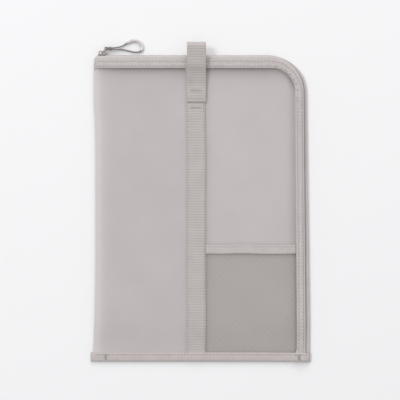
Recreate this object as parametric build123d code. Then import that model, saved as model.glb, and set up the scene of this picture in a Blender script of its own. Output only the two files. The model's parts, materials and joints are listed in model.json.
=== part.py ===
"""Flat zipped travel case of fine nylon mesh, lying on its back panel.

Millimetres. X runs from the folded edge to the zipped edge, Y from the bound bottom edge to the
zipped top edge, and Z up from the surface that the case lies on. The origin is under the middle of
the bottom binding, on that surface and halfway between the fold and the zipped edge.
"""
import os
from math import atan2, cos, degrees, hypot, pi, radians, sin, tan

from build123d import *

# Case outline
CASE_W = 165.0          # fold to the zipped right edge
CASE_H = 235.7          # bottom edge to top edge
CORNER_R = 31.0         # outer corner of the back half
FRONT_CORNER_R = 29.0   # same corner on the line where the zip halves meet
ZIP_SETBACK = 3.5       # how far that line sits inside the right edge
COMPARTMENT = 4.3       # clear height between the two mesh panels

# Fabric thicknesses
MESH_T = 0.35
ZIP_TAPE_T = 0.45
SEAM_TAPE_T = 0.5
WEB_T = 0.9
BIND_T = 0.5

# Zip tape and the seam tape that covers its edge
ZIP_SHOW_TOP = 4.0      # zip tape left bare along the top
ZIP_SHOW_RIGHT = 1.5    # and along the right side
ZIP_SHOW_BACK = 1.0     # and on the back
SEAM_TAPE_W = 5.5
SEAM_INNER_R = 17.0     # inner corner of the seam tape
SEAM_CORNER_EASE = 3.5  # how much rounder its outer corner is than a parallel one
ZIP_RAW = 0.5           # zip tape's raw edge, short of the seam tape's inner edge
ZIP_TAPE_W = 9.0        # flat part of the zip tape on the back
PANEL_TUCK = 3.0        # bare zip before the mesh starts, under the seam tape
CHAIN_GAP = 0.8         # slot between the two zip halves
COIL_W = 1.6
COIL_H = 1.45
COIL_INSET = 0.6        # outer edge to the coil

# Bottom binding
BIND_W = 7.0
BIND_OVER_LEFT = 3.6    # tape end standing past the fold
BIND_OVER_RIGHT = 0.9   # tape end standing past the zipped side

# Webbing and hanging loop
WEB_W = 15.0
WEB_X = -4.8            # middle of the webbing
LOOP_OUT = 10.9         # loop standing past the top edge
LOOP_SEWN_TOP = 25.0    # top edge down to where the loop comes free
LOOP_SEWN = 11.2        # length of the sewn ends
LOOP_EYE = 5.2          # clear height inside the loop's round end
LOOP_LIFT = 0.3         # loop above the seam tape
LOOP_GAP = 0.3          # between the fold line and the pieces on each side of it

# Pocket
POCKET_H = 90.0         # bottom edge to the top of the hem
HEM_W = 7.0
HEM_T = 0.9

# Crease where the unzipped corner folds back
CREASE_INSET = 16.5     # from the fold, along the top edge
CREASE_RISE = 14.5      # from the bottom edge, up the right side
CREASE_GAP = 0.4

# Zip slider, its ring and stops
SLIDER_L = 6.5
SLIDER_OVER = 0.5       # slider's near end, past the flat edge of the panels
PLATE_T = 0.8
PLATE_H = 4.5
PLATE_CLEAR = 0.45      # plates to the zip tape and coil
INNER_PLATE_H = 3.9
POST_L = 2.0
POST_T = 0.4
POST_INSET = 0.3
BAIL_W = 2.0
BAIL_T = 0.8
BAIL_EYE = 1.5          # clear height under the bail
BAIL_SPAN = 3.2
RING_WIRE = 0.9
RING_L = 4.6            # bar to bar
RING_H = 3.5            # arm to arm
RING_BEND_R = 0.8       # middle of the wire, at each corner
RING_ANGLE = 45.0       # ring's direction at rest, from +X
STOP_L = 1.4
STOP_H = 1.4
STOP_GAP = 0.3          # stop to the first tooth

# Cord through the ring, cow-hitched on it, with a soft sleeve over its far end
CORD_D = 1.0
SLEEVE_D = 2.5
SLEEVE_BORE = 1.2
KNOT_H = 2.1
KNOT_R = 1.5
KNOT_CLEAR = 0.1        # ring wire to the turns round it
NECK_START = 0.9        # neck's near end, from the ring's far bar
NECK_W = 2.4
CORD_ROUTE = [
    (-69.6, 238.05, 3.0), (-65.8, 238.35, 2.2), (-62.4, 239.25, 1.5), (-59.4, 240.95, 1.3),
    (-56.6, 242.95, 1.35), (-53.2, 244.45, 1.4), (-49.4, 243.65, 1.35), (-46.4, 240.55, 1.3),
    (-46.2, 236.95, 1.35), (-48.6, 235.05, 1.3), (-52.4, 234.95, 1.0), (-56.6, 235.95, 0.9),
    (-60.8, 236.95, 1.2), (-65.0, 237.1, 2.2), (-69.6, 236.95, 3.0),
]
SLEEVE_FIRST = 4        # first and last route corners inside the sleeve
SLEEVE_LAST = 8

# Bartacks, the dense rows of thread at the stressed ends
TACK_T = 0.25
TACK_W = 2.2
TACK_L = 8.0
TACK_INSET = 8.0        # binding's own bartacks, from the ends of the case
TACK_MARGIN = 1.0

TOUCH = 0.05            # between pieces sewn face to face

# Levels above the surface
Z_BACK_ZIP = SEAM_TAPE_T
Z_BACK_MESH = Z_BACK_ZIP + ZIP_TAPE_T
Z_FLOOR = Z_BACK_MESH + MESH_T
Z_CEILING = Z_FLOOR + COMPARTMENT
Z_FRONT_ZIP = Z_CEILING + MESH_T
Z_SEAM = Z_FRONT_ZIP + ZIP_TAPE_T
Z_SEAM_TOP = Z_SEAM + SEAM_TAPE_T
Z_WEB_TOP = Z_FRONT_ZIP + WEB_T
Z_HEM_TOP = Z_FRONT_ZIP + TOUCH + HEM_T
Z_BIND_IN = max(Z_SEAM_TOP, Z_WEB_TOP, Z_HEM_TOP) + TOUCH
Z_BIND_TOP = Z_BIND_IN + BIND_T
Z_MID = (Z_FLOOR + Z_CEILING) / 2
Z_LOOP = max(Z_SEAM_TOP, Z_WEB_TOP) + LOOP_LIFT

# Places
X_LEFT = -CASE_W / 2
X_RIGHT = CASE_W / 2
X_ZIP = X_RIGHT - ZIP_SETBACK
Y_BOTTOM = -BIND_W / 2
Y_TOP = Y_BOTTOM + CASE_H
Y_BIND = Y_BOTTOM + BIND_W
Y_RAW = Y_BOTTOM + BIND_T + TOUCH
FOLD_R = (Z_FRONT_ZIP - Z_BACK_MESH) / 2
X_PANEL = X_LEFT + FOLD_R
Y_SEAM_OUT = Y_TOP - ZIP_SHOW_TOP
Y_SEAM_IN = Y_SEAM_OUT - SEAM_TAPE_W
X_SEAM_OUT = X_ZIP - ZIP_SHOW_RIGHT
X_SEAM_IN = X_SEAM_OUT - SEAM_TAPE_W
SEAM_OUTER_R = SEAM_INNER_R + SEAM_TAPE_W + SEAM_CORNER_EASE
PANEL_R = SEAM_OUTER_R - PANEL_TUCK
Y_LOOP = Y_TOP - LOOP_SEWN_TOP
Y_LOOP_END = Y_TOP + LOOP_OUT
X_SLIDER = X_PANEL - SLIDER_OVER + SLIDER_L / 2
X_COIL = X_PANEL + STOP_L + STOP_GAP
Y_BAR = Y_TOP + PLATE_CLEAR + PLATE_T + BAIL_EYE / 2
RING_TIP = Vector(X_SLIDER, Y_BAR, Z_MID) + RING_L * Vector(
    cos(radians(RING_ANGLE)), sin(radians(RING_ANGLE)), 0
)


def outline(top, right, radius, left=X_PANEL, bottom=Y_RAW):
    """Flat region with square corners, apart from a round one at the top right."""
    face = Pos((left + right) / 2, (bottom + top) / 2) * Rectangle(right - left, top - bottom)
    corner = face.vertices().sort_by(lambda v: v.X + v.Y)[-1]
    return fillet(corner, radius)


def band(outer, inner, bottom=Y_RAW):
    """L-shaped strip between two outlines, each (top, right, radius), open at its two ends."""
    hole = outline(*inner, left=X_PANEL - 5, bottom=bottom - 5)
    return outline(*outer, bottom=bottom) - hole


def layer(face, low, high):
    return extrude(Pos(0, 0, low) * face, high - low)


def block(x, y, z):
    """Box between two X, two Y and two Z limits."""
    size = (x[1] - x[0], y[1] - y[0], z[1] - z[0])
    return Pos((x[0] + x[1]) / 2, (y[0] + y[1]) / 2, (z[0] + z[1]) / 2) * Box(*size)


def crease_plane():
    """Plane on the crease: local X points into the flap, and local Z is up."""
    start = Vector(X_LEFT + CREASE_INSET, Y_TOP, 0)
    end = Vector(X_ZIP, Y_BOTTOM + CREASE_RISE, 0)
    along = (end - start).normalized()
    return Plane(origin=start, x_dir=(-along.Y, along.X, 0), z_dir=(0, 0, 1))


def split_at_crease(solid):
    """The part that stays with the back, and the part that folds open."""
    reach = 2 * (CASE_W + CASE_H)
    cutter = Pos((reach + CREASE_GAP) / 2, 0, 0) * Box(reach, reach, reach)
    plane = crease_plane()
    keep = Pos(-(reach + CREASE_GAP) / 2, 0, 0) * Box(reach, reach, reach)
    return solid & (plane.location * keep), solid & (plane.location * cutter)


def back_zip_line(inset):
    return (Y_TOP - inset, X_RIGHT - inset, CORNER_R - inset)


def front_zip_line(inset):
    return (Y_TOP - inset, X_ZIP - inset, FRONT_CORNER_R - inset)


def mesh_panels():
    """Back panel, front panel and the round fold between them: one sheet on the real case."""
    back_edge = (Y_TOP - ZIP_SHOW_TOP, X_RIGHT - PANEL_TUCK, CORNER_R - PANEL_TUCK)
    back = layer(outline(*back_edge), Z_BACK_MESH, Z_FLOOR)
    front_edge = (Y_SEAM_OUT, X_ZIP - PANEL_TUCK, PANEL_R)
    front = layer(outline(*front_edge), Z_CEILING, Z_FRONT_ZIP)
    ring = Circle(FOLD_R) - Circle(FOLD_R - MESH_T)
    half = ring - Pos(FOLD_R, 0) * Rectangle(2 * FOLD_R, 4 * FOLD_R)
    section = Plane(origin=(X_PANEL, Y_RAW, Z_MID), x_dir=(1, 0, 0), z_dir=(0, 1, 0)) * half
    fold = extrude(section, Y_SEAM_OUT - Y_RAW, dir=(0, 1, 0))
    return back, front, fold


def front_zip_half():
    """Flat tape under the seam tape, and the wall that drops to the slot."""
    inner = (Y_SEAM_IN + ZIP_RAW, X_SEAM_IN + ZIP_RAW, SEAM_INNER_R + ZIP_RAW)
    flat = layer(band(front_zip_line(0), inner), Z_FRONT_ZIP, Z_SEAM)
    wall = band(front_zip_line(0), front_zip_line(ZIP_TAPE_T))
    return flat + layer(wall, Z_MID + CHAIN_GAP / 2, Z_SEAM)


def back_zip_half():
    """As the front half, but its wall leans in on the right to meet the front half's line."""
    inner = (Y_TOP - ZIP_TAPE_W, X_RIGHT - ZIP_TAPE_W, SEAM_INNER_R + ZIP_RAW)
    flat = layer(band(back_zip_line(0), inner), Z_BACK_ZIP, Z_BACK_MESH)
    wall = band(back_zip_line(0), back_zip_line(ZIP_TAPE_T))
    shelf = band(back_zip_line(0), front_zip_line(ZIP_TAPE_T))
    top = Z_MID - CHAIN_GAP / 2
    return flat + layer(wall, Z_BACK_ZIP, top) + layer(shelf, top - ZIP_TAPE_T, top)


def coil(low):
    """Row of coil teeth as one plain strip behind the zip tape, from the top stop on."""
    strip = band(front_zip_line(COIL_INSET), front_zip_line(COIL_INSET + COIL_W))
    rest = block((X_COIL, X_RIGHT), (Y_BIND + 2 * STOP_L, Y_TOP), (0, Z_SEAM_TOP))
    return layer(strip, low, low + COIL_H) & rest


def zip_stops():
    """Two stops at the slider end, one on each coil, and one block across both at the other."""
    y = (Y_TOP - COIL_INSET - COIL_W, Y_TOP - COIL_INSET)
    x = (X_PANEL, X_PANEL + STOP_L)
    upper = block(x, y, (Z_MID + CHAIN_GAP / 2, Z_MID + CHAIN_GAP / 2 + STOP_H))
    lower = block(x, y, (Z_MID - CHAIN_GAP / 2 - STOP_H, Z_MID - CHAIN_GAP / 2))
    across = block(
        (X_ZIP - COIL_INSET - COIL_W, X_ZIP - COIL_INSET),
        (Y_BIND, Y_BIND + STOP_L),
        (Z_MID - COIL_H, Z_MID + COIL_H),
    )
    return upper + lower, across


def seam_tapes():
    outer = (Y_SEAM_OUT, X_SEAM_OUT, SEAM_OUTER_R)
    inner = (Y_SEAM_IN, X_SEAM_IN, SEAM_INNER_R)
    front = layer(band(outer, inner), Z_SEAM, Z_SEAM_TOP)
    outer = back_zip_line(ZIP_SHOW_BACK)
    inner = back_zip_line(ZIP_SHOW_BACK + SEAM_TAPE_W)
    back = layer(band(outer, inner, bottom=Y_BIND + TOUCH), 0, Z_BACK_ZIP)
    return front, back


def bottom_binding():
    """Tape folded over the raw bottom edges of everything above it."""
    x = (X_LEFT - BIND_OVER_LEFT, X_RIGHT + BIND_OVER_RIGHT)
    outside = block(x, (Y_BOTTOM, Y_BIND), (0, Z_BIND_TOP))
    inside = block((x[0] - 1, x[1] + 1), (Y_BOTTOM + BIND_T, Y_BIND + 1), (BIND_T, Z_BIND_IN))
    return outside - inside


def webbing():
    x = (WEB_X - WEB_W / 2, WEB_X + WEB_W / 2)
    return block(x, (Y_RAW, Y_SEAM_IN - TOUCH), (Z_FRONT_ZIP, Z_WEB_TOP))


def loop_ends():
    """The two ends of the hanging loop, one on the other, sewn to the webbing."""
    x = (WEB_X - WEB_W / 2, WEB_X + WEB_W / 2)
    return block(x, (Y_LOOP - LOOP_SEWN, Y_LOOP - LOOP_GAP), (Z_WEB_TOP, Z_WEB_TOP + 2 * WEB_T))


def free_loop():
    """Free part of the loop: a strip that runs out, turns back over itself and returns."""
    end_r = LOOP_EYE / 2 + WEB_T
    top = Z_LOOP + 2 * end_r
    root = Y_LOOP + LOOP_GAP
    rounded = (Y_LOOP_END - end_r, Z_LOOP + end_r)
    profile = Plane(origin=(WEB_X - WEB_W / 2, 0, 0), x_dir=(0, 1, 0), z_dir=(1, 0, 0))
    body = make_face(
        Polyline(
            (root, Z_LOOP), (rounded[0], Z_LOOP), (rounded[0], top),
            (root, Z_LOOP + 2 * WEB_T), close=True,
        )
    )
    eye_root = root + 3 * WEB_T
    eye = make_face(
        Polyline(
            (eye_root, Z_LOOP + WEB_T), (rounded[0], Z_LOOP + WEB_T), (rounded[0], top - WEB_T),
            (eye_root, Z_LOOP + 1.25 * WEB_T), close=True,
        )
    )
    outside = body + Pos(*rounded) * Circle(end_r)
    inside = eye + Pos(*rounded) * Circle(end_r - WEB_T)
    return extrude(profile * (outside - inside), WEB_W, dir=(1, 0, 0))


def pocket():
    """Second layer of mesh from webbing to zip, and the tape that binds its mouth."""
    x = (WEB_X + WEB_W / 2 + TOUCH, X_SEAM_IN - TOUCH)
    mouth = Y_BOTTOM + POCKET_H
    low = Z_FRONT_ZIP + TOUCH
    mesh = block(x, (Y_RAW, mouth - HEM_W), (low, low + MESH_T))
    hem = block(x, (mouth - HEM_W + TOUCH, mouth), (low, low + HEM_T))
    return mesh, hem


def zip_slider():
    """Outer and inner plates joined by a post in the slot, with a bail on the outer plate."""
    x = (X_SLIDER - SLIDER_L / 2, X_SLIDER + SLIDER_L / 2)
    face = Y_TOP + PLATE_CLEAR
    outer = block(x, (face, face + PLATE_T), (Z_MID - PLATE_H / 2, Z_MID + PLATE_H / 2))
    corners = outer.edges().filter_by(Axis.Y)
    outer = fillet(corners, PLATE_H / 4)
    inner_y = Y_TOP - COIL_INSET - COIL_W - PLATE_CLEAR
    z = (Z_MID - INNER_PLATE_H / 2, Z_MID + INNER_PLATE_H / 2)
    inner = block(x, (inner_y - PLATE_T, inner_y), z)
    post_x = (x[0] + POST_INSET, x[0] + POST_INSET + POST_L)
    post = block(post_x, (inner_y - PLATE_T, face + PLATE_T), (Z_MID - POST_T / 2, Z_MID + POST_T / 2))
    bail_x = (X_SLIDER - BAIL_SPAN / 2 - BAIL_T, X_SLIDER + BAIL_SPAN / 2 + BAIL_T)
    bail_z = (Z_MID - BAIL_W / 2, Z_MID + BAIL_W / 2)
    bail = block(bail_x, (face + PLATE_T / 2, face + PLATE_T + BAIL_EYE + BAIL_T), bail_z)
    shoulders = bail.edges().filter_by(Axis.Z).group_by(Axis.Y)[-1]
    bail = fillet(shoulders, BAIL_T)
    eye_x = (X_SLIDER - BAIL_SPAN / 2, X_SLIDER + BAIL_SPAN / 2)
    eye = block(eye_x, (face + PLATE_T, face + PLATE_T + BAIL_EYE), (0, Z_SEAM_TOP))
    return outer + inner + post + (bail - eye)


def puller_ring():
    """Wire bent into a small upright frame: one bar through the bail, the other for the cord."""
    bar = Plane(
        origin=(X_SLIDER, Y_BAR, Z_MID),
        x_dir=(cos(radians(RING_ANGLE)), sin(radians(RING_ANGLE)), 0),
        z_dir=(sin(radians(RING_ANGLE)), -cos(radians(RING_ANGLE)), 0),
    )
    path = (Pos(RING_L / 2, 0) * RectangleRounded(RING_L, RING_H, RING_BEND_R)).wire()
    section = Plane(origin=path @ 0, z_dir=path % 0) * Circle(RING_WIRE / 2)
    return bar.location * sweep(section, path=path)


def cord_radii(route):
    """Largest tangent arc at each inner corner: 0.45 of the shorter run over tan(half turn)."""
    points = [Vector(*p) for p in route]
    radii = []
    for before, here, after in zip(points, points[1:], points[2:]):
        turn = radians((here - before).get_angle(after - here))
        shorter = min((here - before).length, (after - here).length)
        radii.append(0.45 * shorter / tan(turn / 2))
    return radii


def tube(route, radii, diameter):
    path = FilletPolyline(*route, radius=radii)
    start = Plane(origin=path @ 0, z_dir=path % 0)
    return sweep(start * Circle(diameter / 2), path=path)


def middle(a, b):
    return tuple((p + q) / 2 for p, q in zip(a, b))


def pull_cord():
    """Cord loop, and the sleeve over its far bend, both on the same runs and arcs."""
    radii = cord_radii(CORD_ROUTE)
    print("cord radii", [round(r, 2) for r in radii])
    cord = tube(CORD_ROUTE, radii, CORD_D)
    first = middle(CORD_ROUTE[SLEEVE_FIRST - 1], CORD_ROUTE[SLEEVE_FIRST])
    last = middle(CORD_ROUTE[SLEEVE_LAST], CORD_ROUTE[SLEEVE_LAST + 1])
    bend = [first, *CORD_ROUTE[SLEEVE_FIRST:SLEEVE_LAST + 1], last]
    bend_radii = radii[SLEEVE_FIRST - 1:SLEEVE_LAST]
    sleeve = tube(bend, bend_radii, SLEEVE_D) - tube(bend, bend_radii, SLEEVE_BORE)
    length = FilletPolyline(*CORD_ROUTE, radius=radii).length
    print("cord length", round(length, 2), "volume share", cord.volume / (length * pi * CORD_D**2 / 4))
    return cord, sleeve


def cord_knot():
    """Cow hitch: two turns round the ring's far bar, and the neck that the two strands leave."""
    bar_hole = RING_WIRE / 2 + KNOT_CLEAR
    turns = Cylinder(KNOT_R, KNOT_H) - Cylinder(bar_hole, 2 * KNOT_H)
    ends = Vector(*middle(CORD_ROUTE[0], CORD_ROUTE[-1]))
    reach = hypot(ends.X - RING_TIP.X, ends.Y - RING_TIP.Y)
    angle = degrees(atan2(ends.Y - RING_TIP.Y, ends.X - RING_TIP.X))
    neck = block((NECK_START, reach), (-NECK_W / 2, NECK_W / 2), (-KNOT_H / 2, KNOT_H / 2))
    return Pos(*RING_TIP) * Rot(0, 0, angle) * (turns + neck)


def bartacks():
    """Dense thread across the loop's root, on the webbing below it, and at both binding ends."""
    across = (WEB_X - TACK_L / 2, WEB_X + TACK_L / 2)
    loop_top = Z_WEB_TOP + 2 * WEB_T
    loop_y = Y_LOOP - LOOP_GAP - TACK_W
    loop_tack = block(across, (loop_y, Y_LOOP - LOOP_GAP), (loop_top, loop_top + TACK_T))
    web_y = Y_LOOP - LOOP_SEWN - TACK_W
    web_tack = block(across, (web_y - TACK_W, web_y), (Z_WEB_TOP, Z_WEB_TOP + TACK_T))
    ends = []
    for x in (X_LEFT + TACK_INSET, X_RIGHT - TACK_INSET):
        z = (Z_BIND_TOP, Z_BIND_TOP + TACK_T)
        ends.append(block((x - TACK_W / 2, x + TACK_W / 2), (Y_BOTTOM + TACK_MARGIN, Y_BIND - TACK_MARGIN), z))
    return loop_tack, web_tack, ends[0] + ends[1]


def build():
    nodes = {}
    nodes["back_panel"], front, nodes["spine_fold"] = mesh_panels()
    nodes["front_panel"], nodes["front_panel_flap"] = split_at_crease(front)
    nodes["back_zip_tape"] = back_zip_half()
    nodes["front_zip_tape_ends"], nodes["front_zip_tape"] = split_at_crease(front_zip_half())
    nodes["back_coil"] = coil(Z_MID - CHAIN_GAP / 2 - COIL_H)
    front_coil = coil(Z_MID + CHAIN_GAP / 2)
    nodes["front_coil_ends"], nodes["front_coil"] = split_at_crease(front_coil)
    nodes["zip_top_stops"], nodes["zip_bottom_stop"] = zip_stops()
    front_seam, nodes["back_seam_tape"] = seam_tapes()
    nodes["front_seam_tape_ends"], nodes["front_seam_tape"] = split_at_crease(front_seam)
    nodes["bottom_binding"] = bottom_binding()
    nodes["centre_webbing"], nodes["centre_webbing_upper"] = split_at_crease(webbing())
    nodes["loop_sewn_ends"] = loop_ends()
    nodes["hanging_loop"] = free_loop()
    pocket_mesh, hem = pocket()
    nodes["pocket_panel"], nodes["pocket_panel_flap"] = split_at_crease(pocket_mesh)
    nodes["pocket_hem"], nodes["pocket_hem_flap"] = split_at_crease(hem)
    nodes["zip_slider"] = zip_slider()
    nodes["puller_ring"] = puller_ring()
    nodes["pull_cord"], nodes["cord_sleeve"] = pull_cord()
    nodes["cord_knot"] = cord_knot()
    nodes["loop_bartack"], nodes["webbing_bartack"], nodes["binding_bartacks"] = bartacks()
    return nodes


os.makedirs("parts", exist_ok=True)
for name, shape in build().items():
    export_step(shape, f"parts/{name}.step")
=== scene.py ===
import json
import math

import bpy
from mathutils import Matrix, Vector, noise


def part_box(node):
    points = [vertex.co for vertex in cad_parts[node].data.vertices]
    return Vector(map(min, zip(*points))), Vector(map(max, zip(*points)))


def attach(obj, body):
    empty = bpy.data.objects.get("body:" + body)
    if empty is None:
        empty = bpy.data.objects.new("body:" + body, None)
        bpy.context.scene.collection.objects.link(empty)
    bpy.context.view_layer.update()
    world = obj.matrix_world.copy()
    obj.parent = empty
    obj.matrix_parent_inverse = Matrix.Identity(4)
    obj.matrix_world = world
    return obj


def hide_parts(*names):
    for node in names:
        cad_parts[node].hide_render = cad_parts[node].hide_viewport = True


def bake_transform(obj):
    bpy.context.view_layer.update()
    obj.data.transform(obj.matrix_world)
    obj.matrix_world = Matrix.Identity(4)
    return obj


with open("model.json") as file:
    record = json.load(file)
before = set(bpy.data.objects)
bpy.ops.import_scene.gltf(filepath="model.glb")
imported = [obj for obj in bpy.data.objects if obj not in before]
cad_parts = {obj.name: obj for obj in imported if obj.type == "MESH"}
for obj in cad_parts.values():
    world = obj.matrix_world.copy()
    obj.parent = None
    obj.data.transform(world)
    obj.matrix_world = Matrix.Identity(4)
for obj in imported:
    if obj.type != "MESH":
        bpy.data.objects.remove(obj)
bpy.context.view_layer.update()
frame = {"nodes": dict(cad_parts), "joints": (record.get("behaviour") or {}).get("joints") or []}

# ---------------------------------------------------------------------------------------------
# Mesh sheet. One piece of fine nylon mesh is the back, the round fold at the left and the front.
# It is woven from thin monofilament, so it is smooth, a little glossy and slightly see-through,
# and it sags a little between the tapes that hold its edges.
# ---------------------------------------------------------------------------------------------
MM = 0.001
MESH_THICK = 0.3 * MM
MESH_PITCH = 0.6            # millimetres between threads; drawn about twice as coarse as real, to show
# Ends of the mesh's tone, which also carries its painted light and shade.
MESH_LIGHT = "#d4cdcd"
MESH_DARK = "#7c7574"
FOLD_REACH = 9.5 * MM       # how far in from the fold the sheet curves down
FOLD_POWER = 2.0
MESH_LIES = 3.9 * MM        # level of the slack mesh between the tapes
SAG_REACH = 4.6 * MM
DROP_BY_STRAP = 0.8 * MM    # mesh falls away on the right of the stitched strap
GRID = 2.5 * MM
THIN_REACH = 26 * MM        # the case thins over this length, to this share of its thickness
THIN_SHARE = 0.58
CORNER_CUT = 3.4 * MM       # top left corner, pulled down by the zip's folded end

fold_low, fold_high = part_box("spine_fold")
zip_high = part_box("back_zip_tape")[1]
bind_low, bind_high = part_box("bottom_binding")
seam_low, seam_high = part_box("front_seam_tape")
X_FOLD, X_EDGE = fold_low.x, zip_high.x
X_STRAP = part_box("centre_webbing")[1].x
Y_BOTTOM, Y_TOP = bind_low.y, zip_high.y
Y_BIND = bind_high.y
Y_RAW = Y_BOTTOM + 1.2 * MM
X_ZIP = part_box("front_zip_tape")[1].x
Z_BACK, Z_FRONT = fold_low.z, fold_high.z
Z_MIDDLE = (Z_BACK + Z_FRONT) / 2
Z_SEAM = seam_low.z
Y_SEAM_OUT, X_SEAM_OUT = seam_high.y, seam_high.x
SEAM_WIDE = 5.5 * MM
Y_SEAM_IN, X_SEAM_IN = Y_SEAM_OUT - SEAM_WIDE, X_SEAM_OUT - SEAM_WIDE


def share_of(t):
    """t kept between 0 and 1."""
    return min(max(t, 0.0), 1.0)


def eased(t):
    """0 to 1 with soft ends."""
    t = share_of(t)
    return t * t * (3 - 2 * t)


def fading(distance, reach):
    """1 at no distance, falling away over about the reach."""
    return math.exp(-max(distance, 0.0) / reach)


def linear(hex_colour):
    """sRGB hex to the linear RGBA that shaders take."""
    values = [int(hex_colour[i:i + 2], 16) / 255 for i in (1, 3, 5)]
    return [v / 12.92 if v <= 0.04045 else ((v + 0.055) / 1.055) ** 2.4 for v in values] + [1.0]


def add(tree, kind, inputs=None, **settings):
    """Adds a node. Inputs are plain values or sockets to link, by name or number."""
    node = tree.nodes.new(kind)
    for name, value in settings.items():
        setattr(node, name, value)
    for key, value in (inputs or {}).items():
        if isinstance(value, bpy.types.NodeSocket):
            tree.links.new(value, node.inputs[key])
        else:
            node.inputs[key].default_value = value
    return node.outputs[0] if node.outputs else node


def toned(tree, share, first, second):
    """Colour between two, each a hex tone or a socket."""
    ends = [linear(tone) if isinstance(tone, str) else tone for tone in (first, second)]
    mix = add(tree, "ShaderNodeMix", {0: share, 6: ends[0], 7: ends[1]}, data_type="RGBA")
    return mix.node.outputs[2]


def thread_map(tree):
    """The 'threads' map, whose unit is a millimetre."""
    return add(tree, "ShaderNodeUVMap", uv_map="threads")


def apart(tree, vector):
    """The three parts of a vector socket."""
    return add(tree, "ShaderNodeSeparateXYZ", {0: vector}).node.outputs


def crowns(tree, angle):
    """Rounded tops of the threads, apart for the two ways of the cloth."""
    wave = add(tree, "ShaderNodeVectorMath", {0: angle}, operation="SINE")
    return apart(tree, add(tree, "ShaderNodeVectorMath", {0: wave}, operation="ABSOLUTE"))


def scaled(tree, vector, *factors):
    """A vector socket times three plain factors."""
    return add(tree, "ShaderNodeVectorMath", {0: vector, 1: factors}, operation="MULTIPLY")


def sloped(tree, value, low, high, out_low, out_high):
    """A value from low to high, mapped to out_low to out_high and held at both ends."""
    return add(tree, "ShaderNodeMapRange", {0: value, 1: low, 2: high, 3: out_low, 4: out_high})


def coloured(tree, shader, colour):
    """Links a colour to the shader."""
    tree.links.new(colour, shader.inputs["Base Color"])


def surface(name, **sockets):
    """New material: its tree, and its Principled shader with these plain values set on it."""
    material = bpy.data.materials.new(name)
    material.use_nodes = True
    tree = material.node_tree
    shader = tree.nodes["Principled BSDF"]
    for key, value in sockets.items():
        shader.inputs[key.replace("_", " ")].default_value = value
    return material, tree, shader


def woven(tree, across, along):
    """Height of a plain weave, 0 to 1, with threads this many millimetres apart."""
    cell = scaled(tree, thread_map(tree), 1 / across, 1 / along, 0)
    warp, weft, _ = crowns(tree, scaled(tree, cell, math.pi, math.pi, math.pi))
    over = add(tree, "ShaderNodeTexChecker", {"Vector": cell, "Scale": 1.0}).node.outputs[1]
    return add(tree, "ShaderNodeMix", {0: over, 2: warp, 3: weft}, data_type="FLOAT")


def thread_shade_and_patches(tree, height, light, dark, patch=0.10, size=28.0):
    """Colour between two tones: darker in the hollows between threads, a painted shade from the thread
    height, and a faint large-scale patchiness.
    """
    cloud = add(tree, "ShaderNodeTexNoise", {"Vector": thread_map(tree), "Scale": 1 / size, "Detail": 4.0})
    drift = sloped(tree, cloud, 0.3, 0.7, -patch, patch)
    tone = add(tree, "ShaderNodeMath", {0: height, 1: drift}, operation="ADD", use_clamp=True)
    return toned(tree, tone, dark, light)


def raised(tree, shader, height, depth):
    """Bump from a height socket, depth in metres."""
    normal = add(tree, "ShaderNodeBump", {"Height": height, "Distance": depth, "Strength": 1.0})
    tree.links.new(normal, shader.inputs["Normal"])


def nylon_mesh(name, light, dark, pitch, moire=0.0):
    """Monofilament nylon, plain woven: smooth thread, so a soft gloss with pale sheen at the edges."""
    material, tree, shader = surface(
        name, Roughness=0.55, Specular_IOR_Level=0.4, Sheen_Weight=0.25, Sheen_Roughness=0.4, IOR=1.53,
    )
    height = woven(tree, pitch, pitch)
    tone = sloped(tree, height, 0.0, 1.0, 0.58, 0.80)
    if moire:
        bands = add(
            tree, "ShaderNodeTexWave",
            {"Vector": thread_map(tree), "Scale": 0.14, "Distortion": 2.0, "Detail": 1.0},
            bands_direction="DIAGONAL",
        )
        shift = sloped(tree, bands, 0.0, 1.0, -moire, moire)
        tone = add(tree, "ShaderNodeMath", {0: tone, 1: shift}, operation="ADD", use_clamp=True)
    # painted light and shade from the piece's points
    painted_light_shade = add(tree, "ShaderNodeAttribute", attribute_name="painted_light_shade").node.outputs["Fac"]
    tone = add(tree, "ShaderNodeMath", {0: tone, 1: painted_light_shade}, operation="ADD")
    coloured(tree, shader, thread_shade_and_patches(tree, tone, light, dark, 0.03))
    raised(tree, shader, height, 0.06 * MM)
    tree.links.new(sloped(tree, height, 0.0, 1.0, 0.72, 0.48), shader.inputs["Roughness"])
    return material


def placed(name, data):
    """New object in the scene."""
    found = bpy.data.objects.new(name, data)
    bpy.context.scene.collection.objects.link(found)
    return found


def new_piece(name, points, faces, maps, material, tones=None):
    """Smooth-shaded mesh piece; maps holds one (u, v) in millimetres for each point, and tones, where
    given, the painted light and shade added to the cloth's tone there."""
    mesh = bpy.data.meshes.new(name)
    mesh.from_pydata(points, [], faces)
    if tones:
        mesh.attributes.new("painted_light_shade", "FLOAT", "POINT").data.foreach_set("value", tones)
    layer = mesh.uv_layers.new(name="threads")
    for loop in mesh.loops:
        layer.data[loop.index].uv = maps[loop.vertex_index]
    mesh.shade_smooth()
    piece = placed(name, mesh)
    piece.data.materials.append(material)
    return piece


def grid_piece(name, rows, material, thick, offset=-1.0, tone=None):
    """Sheet from rows of (x, y, z, u, v), given real thickness under its outer face."""
    wide = len(rows[0])
    points = [p[:3] for row in rows for p in row]
    maps = [(p[3] / MM, p[4] / MM) for row in rows for p in row]
    faces = [
        (r * wide + c, r * wide + c + 1, (r + 1) * wide + c + 1, (r + 1) * wide + c)
        for r in range(len(rows) - 1) for c in range(wide - 1)
    ]
    tones = [tone(p[3], p[4]) for row in rows for p in row] if tone else None
    piece = new_piece(name, points, faces, maps, material, tones)
    body = piece.modifiers.new("thickness", "SOLIDIFY")
    body.thickness = thick
    body.offset = offset
    mesh = mesh_of(piece)
    piece.modifiers.clear()
    piece.data = mesh
    return piece


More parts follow.
